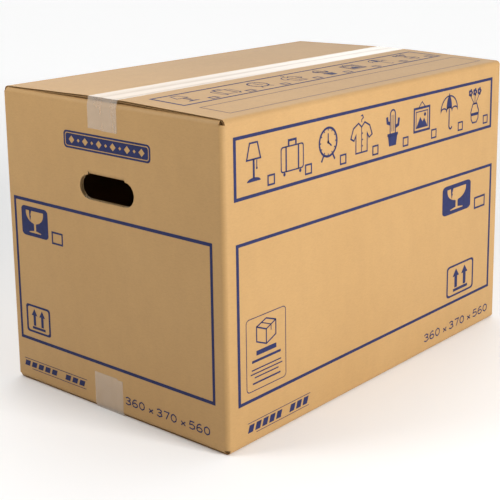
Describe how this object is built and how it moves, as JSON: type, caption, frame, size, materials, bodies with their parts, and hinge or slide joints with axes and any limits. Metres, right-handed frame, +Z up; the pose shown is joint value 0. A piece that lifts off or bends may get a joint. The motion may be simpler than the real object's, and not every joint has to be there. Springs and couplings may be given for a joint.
{
  "type": "moving box",
  "caption": "Closed double-wall cardboard moving box with a hand hole in each end, its flaps held by clear tape along the top and bottom seams.",
  "frame": {"origin": "on the floor below the middle of the closed box", "axes": "+X along the long sides, away from the end with the torn tape step; +Y across the ends, away from the printed side in view; +Z up"},
  "size_m": [0.5602, 0.36, 0.3744],
  "materials": {
    "kraft_board": "matt brown kraft liner with a faint flute pattern and blue one-colour print",
    "clear_tape": "clear glossy film with small wrinkles"
  },
  "bodies": {
    "root": {"carton": "kraft_board", "top_tape": "clear_tape", "bottom_tape": "clear_tape"}
  },
  "joints": []
}
